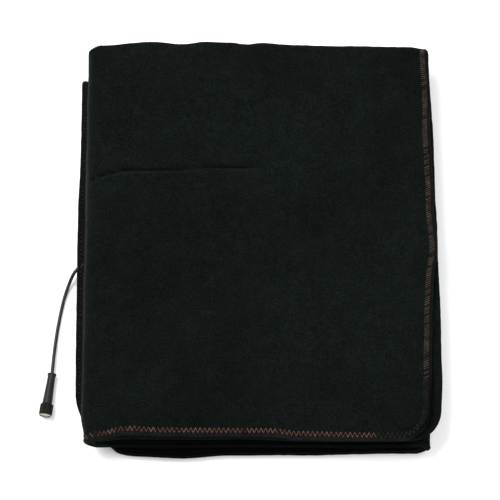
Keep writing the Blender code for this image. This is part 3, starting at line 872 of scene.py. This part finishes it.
def hem_stations(panel, pitch):
    """The rows of stations along a panel's hems: one that goes all round, or one for each layer."""
    upper, lower = layer_stations(panel, 0, 1, pitch), layer_stations(panel, 1, -1, pitch)
    if not panel.round_side:
        return [upper, lower]
    count = max(int(math.pi * HALF / pitch), 4)
    bend = [bend_station(panel, k / count) for k in range(1, count)]
    return [upper + bend + lower[::-1]]


def fold_stations(fold, pitch):
    """The row of stations along the front hem of a side fold's outer sleeve."""

    def station(share):
        a, front = math.pi / 2 - math.pi * share, fold.front(share)
        return lambda e, r: fold.point(OUTER + r - MID, a, front + e)

    count = max(int(math.pi * OUTER / pitch), 3)
    return [[station(k / count) for k in range(count + 1)]]


def tube(points, radius, sides=5):
    """A tube's points and faces along a line."""
    line = np.asarray(points)
    ahead = np.gradient(line, axis=0)
    ahead /= np.maximum(np.linalg.norm(ahead, axis=1, keepdims=True), 1e-9)
    up = np.array([0.05, 0.03, 1.0])
    across = np.cross(ahead, up)
    across /= np.maximum(np.linalg.norm(across, axis=1, keepdims=True), 1e-9)
    other = np.cross(across, ahead)
    rings = []
    for k in range(sides):
        a = math.tau * k / sides
        rings.append(line + radius * (math.cos(a) * across + math.sin(a) * other))
    verts = np.stack(rings, axis=1).reshape(-1, 3)
    faces = []
    for i in range(len(line) - 1):
        for k in range(sides):
            j = (k + 1) % sides
            faces.append((i * sides + k, i * sides + j, (i + 1) * sides + j, (i + 1) * sides + k))
    faces.append(tuple(range(sides))[::-1])
    last = (len(line) - 1) * sides
    faces.append(tuple(last + k for k in range(sides)))
    return verts, faces


class Thread:
    """A growing mesh of separate strokes of thread, with a material slot for each face."""

    def __init__(self):
        self.points, self.faces, self.slots, self.count = [], [], [], 0

    def stroke(self, here, there, start, end, lift, radius, slot):
        """A stroke from one station to the next. start and end are distances in from the hem."""
        line = []
        for share in STROKE_SHARES:
            e = start + (end - start) * share
            rise = lift * math.sin(math.pi * share) ** 0.5 if 0 < share < 1 else -END_SINK
            r = MID + float(half_thickness(e)) + rise
            a, b = np.array(here(e, r)), np.array(there(e, r))
            line.append(a + (b - a) * share)
        points, faces = tube(shifted(np.array(line)), radius)
        self.points.append(points)
        self.faces.extend(tuple(i + self.count for i in face) for face in faces)
        self.slots.extend([slot] * len(faces))
        self.count += len(points)


def worn_stroke(k, share):
    """Whether stroke k is one of the worn ones: a pick that looks random and is the same each time."""
    return math.sin(12.9898 * k) * 43758.5 % 1 < share


def zigzag(name, runs, threads, look_at):
    """A hem's row of stitches on the outer face: a pale zigzag over a dark one in the opposite phase.

    The dark thread lies a little lower and reaches nearer to the hem's edge. Along the right hem the
    pale strokes lie side by side like rungs, and the dark ones are short loops at their outer ends.
    """
    thread = Thread()
    near, far = STITCH_IN - STITCH_REACH, STITCH_IN + STITCH_REACH
    for run in runs:
        for k in range(len(run) - 1):
            here, there = run[k], run[k + 1]
            x, y = here(STITCH_IN, MID)[:2]
            over, under = look_at(x, y)
            ladder = x > LADDER_FROM
            if over in (RED, DEEP_RED, GREYED) and worn_stroke(k, WORN_RUNGS if ladder else WORN):
                over = WORN_AND_SHADED
            start, end = (near, far) if k % 2 and not ladder else (far, near)
            back = near + RUNG_LOOP if ladder else start - UNDER_OUT
            thread.stroke(here, there, start, end, OVER_LIFT, THREAD, over)
            thread.stroke(here, there, end - UNDER_OUT, back, UNDER_LIFT, UNDER_THREAD, under)
    obj = make_mesh(name, np.concatenate(thread.points), thread.faces, threads[0])
    for look in threads[1:]:
        obj.data.materials.append(look)
    obj.data.polygons.foreach_set("material_index", thread.slots)
    return obj


def top_look(x, y):
    """The slots of the pale and the dark thread on the top layer and round the left fold.

    They are red in front, greyer at the right, and painted in shade round the corner between.
    """
    if x > SHADED_CORNER[0] and y < SHADED_CORNER[1]:
        return WORN_AND_SHADED, SHADED
    return (GREYED if x > GREYED_FROM else RED), DEEP_RED


def lower_look(x, y):
    """The same for the other layers: the thread painted in shade, near black, but for the dimmer pale
    dots that show on the left hem.
    """
    return (WORN_AND_SHADED if x < PALE_DOTS[0] and y > PALE_DOTS[1] else SHADED), SHADED


def make_threads():
    """The thread's materials, in the order of their slots."""
    red = thread_material("hem_thread", (0.034, 0.014, 0.011), (0.150, 0.094, 0.078))
    deep_red = thread_material("hem_thread_under", (0.006, 0.0015, 0.0015), (0.020, 0.004, 0.004))
    greyed = thread_material("hem_thread_greyed", (0.026, 0.018, 0.015), (0.125, 0.096, 0.080))
    # A dimmer copy of the pale thread: for the worn strokes, and painted shade round the top layer's
    # corner.
    worn_and_shaded = thread_material("hem_thread_faded", (0.007, 0.006, 0.005), (0.034, 0.027, 0.024))
    # A near-black copy of the thread: painted shade on the layers under the top one.
    shaded = thread_material("hem_thread_dull", (0.0012, 0.0012, 0.0011), (0.0034, 0.0032, 0.0030))
    return [red, deep_red, greyed, worn_and_shaded, shaded]


def make_stitches(panels, folds):
    """The stitches of each panel's hems, and of the side folds' front hems."""
    threads, pitch = make_threads(), STITCH_PITCH / 2
    for panel in panels:
        nodes = [name for name in frame["nodes"] if name.startswith(f"{panel.name}_hem_thread")]
        runs = hem_stations(panel, pitch)
        if panel.name == "top":
            nodes.append("top_edge_stitching")
            obj = zigzag("top_stitches", runs, threads, top_look)
        else:
            # One station less at each end keeps the rows of neighbours apart at the seams.
            obj = zigzag(f"{panel.name}_stitches", [run[1:-1] for run in runs], threads, lower_look)
        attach(obj, panel.body)
        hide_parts(*nodes)
    for fold, look_at in zip(folds, (top_look, lower_look)):
        obj = zigzag(f"{fold.name}_fold_stitches", fold_stations(fold, pitch), threads, look_at)
        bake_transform(obj)


# ---- the heating layer inside the cloth ----
def inner_strip(name, panel, ends, front, thick, material, nodes):
    """A thin sheet in the middle of the cloth, from the upper layer round the half fold to the lower."""
    width = abs(ends[1] - ends[0])
    across = np.linspace(*ends, max(int(width / INNER_STEP), 1) + 1)
    rows = list(np.linspace(front, panel.fold, INNER_ROWS))
    skins = []
    for sign in (1, -1):
        r = MID + sign * thick / 2
        grid = [[(x, y, panel.middle + r) for x in across] for y in rows]
        for k in range(1, INNER_BEND):
            a = math.pi / 2 - math.pi * k / INNER_BEND
            y, z = panel.fold + r * math.cos(a), panel.middle + r * math.sin(a)
            grid.append([(x, y, z) for x in across])
        grid += [[(x, y, panel.middle - r) for x in across] for y in rows[::-1]]
        skins.append(np.array(grid))
    obj = closed_sheet(name, *skins, material, [], fuzz=0)
    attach(obj, panel.body)
    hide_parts(*nodes)


def make_heating(panel, film, copper):
    """The carbon cloth and its two copper strips, which settle with the fleece round them."""
    name = panel.name
    low, high = BOX[f"{name}_film_upper"]
    nodes = [f"{name}_film_upper", f"{name}_film_lower"]
    ends = (low[0], high[0])
    inner_strip(f"{name}_carbon_cloth", panel, ends, low[1], FILM, film, nodes)
    for side in ("left", "right"):
        node = f"{name}_busbar_{side}"
        low, high = BOX[node]
        ends = (low[0], high[0])
        inner_strip(f"{name}_strip_{side}", panel, ends, low[1], BUSBAR, copper, [node])


# ---- the cable ----
def smooth_line(route, count):
    """Evenly numbered points on a Catmull-Rom curve through the route."""
    points = [Vector(p) for p in route]
    ends = [2 * points[0] - points[1], *points, 2 * points[-1] - points[-2]]
    line = []
    for n in range(count):
        place = n * (len(points) - 1) / (count - 1)
        i = min(int(place), len(points) - 2)
        t = place - i
        a, b, c, d = ends[i : i + 4]
        square, cube = 2 * a - 5 * b + 4 * c - d, 3 * b - a - 3 * c + d
        line.append(0.5 * (2 * b + (c - a) * t + square * t**2 + cube * t**3))
    return line


def make_cable():
    dark, light = (0.006, 0.007, 0.007), (0.018, 0.020, 0.019)
    jacket = moulded_material("cable_jacket", dark, light, 0.40, grain=1400, depth=0.00004, gloss=0.18)
    curve = bpy.data.curves.new("power_cable_jacket", "CURVE")
    curve.dimensions = "3D"
    curve.bevel_depth = CABLE_RADIUS
    curve.bevel_resolution = 6
    curve.use_fill_caps = True
    line = smooth_line(CABLE_ROUTE, CABLE_POINTS)
    spline = curve.splines.new("POLY")
    spline.points.add(len(line) - 1)
    for point, place in zip(spline.points, line):
        point.co = (*place, 1)
    spline.use_smooth = True
    obj = bpy.data.objects.new("power_cable_jacket", curve)
    curve.materials.append(jacket)
    bpy.context.scene.collection.objects.link(obj)
    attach(obj, "bottom_panel")
    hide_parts("power_cable")
    plug = ["connector_boot", "connector_shell", "contact_insert", "contact_1", "contact_2"]
    plug += ["seal_ring", "coupling_nut", "nut_face_ring", "cable_grommet"]


# ---- the room ----
FLOOR_REACH = 6.0
FLOOR_DROP = 0.0002


def make_stage():
    corners = [(x * FLOOR_REACH, y * FLOOR_REACH, 0) for x, y in ((-1, -1), (1, -1), (1, 1), (-1, 1))]
    mesh = bpy.data.meshes.new("floor")
    mesh.from_pydata(corners, [], [(0, 1, 2, 3)])
    floor = bpy.data.objects.new("floor", mesh)
    bpy.context.scene.collection.objects.link(floor)
    s = Shader("floor_paper")
    s.set(Base_Color=(0.95, 0.95, 0.95), Roughness=0.9, Specular_IOR_Level=0.1)
    s.set(Emission_Color=(1.0, 1.0, 1.0), Emission_Strength=0.12)
    mesh.materials.append(s.material)
    floor.location.z = -FLOOR_DROP


def area_light(name, place, size, power):
    """A square soft light that faces the blanket."""
    light = bpy.data.lights.new(name, "AREA")
    light.size = size
    light.energy = power
    obj = bpy.data.objects.new(name, light)
    obj.location = place
    obj.rotation_euler = (-Vector(place)).to_track_quat("-Z", "Y").to_euler()
    bpy.context.scene.collection.objects.link(obj)


def make_lights():
    bpy.context.scene.view_settings.view_transform = "Standard"
    area_light("key", place=(-1.2, 0.9, 2.3), size=1.6, power=95)
    area_light("fill", place=(1.3, -0.4, 2.4), size=2.0, power=40)
    world = bpy.data.worlds.new("room")
    world.use_nodes = True
    world.node_tree.nodes["Background"].inputs["Color"].default_value = (1, 1, 1, 1)
    world.node_tree.nodes["Background"].inputs["Strength"].default_value = 0.45
    bpy.context.scene.world = world


CAMERA_ELEVATION = 72.0  # degrees
CAMERA_DISTANCE = 2.975
CAMERA_TARGET = (-0.0090, -0.0045, 0.025)
CAMERA_WIDTH = 0.6133  # how much the picture spans at the target
SENSOR = 36  # millimetres


def make_camera():
    camera = bpy.data.cameras.new("camera")
    camera.sensor_width = SENSOR
    camera.lens = SENSOR * CAMERA_DISTANCE / CAMERA_WIDTH
    camera.clip_end = 20
    obj = bpy.data.objects.new("camera", camera)
    tilt = math.radians(CAMERA_ELEVATION)
    away = Vector((0, -math.cos(tilt), math.sin(tilt)))
    obj.location = Vector(CAMERA_TARGET) + away * CAMERA_DISTANCE
    obj.rotation_euler = (-away).to_track_quat("-Z", "Y").to_euler()
    bpy.context.scene.collection.objects.link(obj)
    bpy.context.scene.camera = obj


# ---- materials of the nodes that stay ----
def dress_nodes():
    """Give each node that is seen as it is its material, by a part of its name."""
    wire = woven_material("tinned_wire", (0.30, 0.30, 0.29), (0.62, 0.61, 0.58), 900, 0.35, 1.0)
    boot = moulded_material("boot_rubber", (0.005, 0.006, 0.006), (0.014, 0.016, 0.015), 0.46, gloss=0.16)
    nut = moulded_material("nut_nylon", (0.003, 0.004, 0.003), (0.009, 0.011, 0.009), 0.50, gloss=0.07)
    pale = moulded_material("pale_insert", (0.30, 0.28, 0.21), (0.50, 0.48, 0.39), 0.5)
    brass = moulded_material("contact_brass", (0.55, 0.40, 0.16), (0.86, 0.68, 0.34), 0.28, metallic=1.0)
    rubber = moulded_material("seal_silicone", (0.14, 0.03, 0.02), (0.24, 0.05, 0.04), 0.55)
    case = moulded_material("cutout_case", (0.55, 0.53, 0.47), (0.74, 0.72, 0.66), 0.45)
    looks = {
        "_lead": wire,
        "connector_boot": boot,
        "cable_grommet": boot,
        "cable_inner_end": boot,
        "connector_shell": nut,
        "coupling_nut": nut,
        "contact_insert": pale,
        "nut_face_ring": pale,
        "splice": pale,
        "contact_1": brass,
        "contact_2": brass,
        "temperature_sensor": brass,
        "seal_ring": rubber,
        "thermal_cutout": case,
    }
    for name, node in frame["nodes"].items():
        for key, look in looks.items():
            if key in name:
                for slot in node.material_slots:
                    slot.material = look


# ---- assembly ----
# The side hems' knots, (Y, X): the top panel's upper layer, and the lower layer under it.
TOP_HEMS = (
    (
        (-0.215, 0.2065),
        (-0.150, 0.2090),
        (-0.100, 0.2118),
        (-0.055, 0.2138),
        (-0.005, 0.2196),
        (0.050, 0.2160),
        (0.140, 0.2150),
        (0.200, 0.2147),
        (0.250, 0.2132),
    ),
    (
        (-0.225, 0.2195),
        (-0.163, 0.2218),
        (-0.090, 0.2224),
        (0.0, 0.2204),
        (0.120, 0.2185),
        (0.250, 0.2153),
    ),
)


def make_blanket():
    bottom = Panel("bottom", "left", BOTTOM_CORNER, STEP_LOWER)
    middle = Panel("middle", None, 0, STEP_LOWER)
    top = Panel("top", "right", TOP_CORNER, STEP_TOP, TOP_HEMS)
    fleece = fleece_material("black_fleece", (0.0018, 0.0027, 0.0024), (0.0053, 0.0074, 0.0067))
    for panel in (bottom, middle, top):
        make_panel(panel, fleece)
    left = SideFold("left", LEFT_PIVOT, -1, middle, top)
    right = SideFold("right", RIGHT_PIVOT, 1, bottom, middle)
    for fold in (left, right):
        make_sleeve(fold, "outer", OUTER, CAP_OUTER, fleece)
        make_sleeve(fold, "inner", INNER, CAP_INNER, fleece)
    make_stitches((top, middle, bottom), (left, right))
    film = woven_material("carbon_cloth", (0.004, 0.004, 0.004), (0.03, 0.03, 0.032), 260, 0.7)
    copper = woven_material("copper_braid", (0.35, 0.14, 0.07), (0.80, 0.40, 0.22), 420, 0.35, 1.0)
    for panel in (bottom, middle, top):
        make_heating(panel, film, copper)


make_camera()
make_stage()
make_lights()
make_cable()
dress_nodes()
make_blanket()
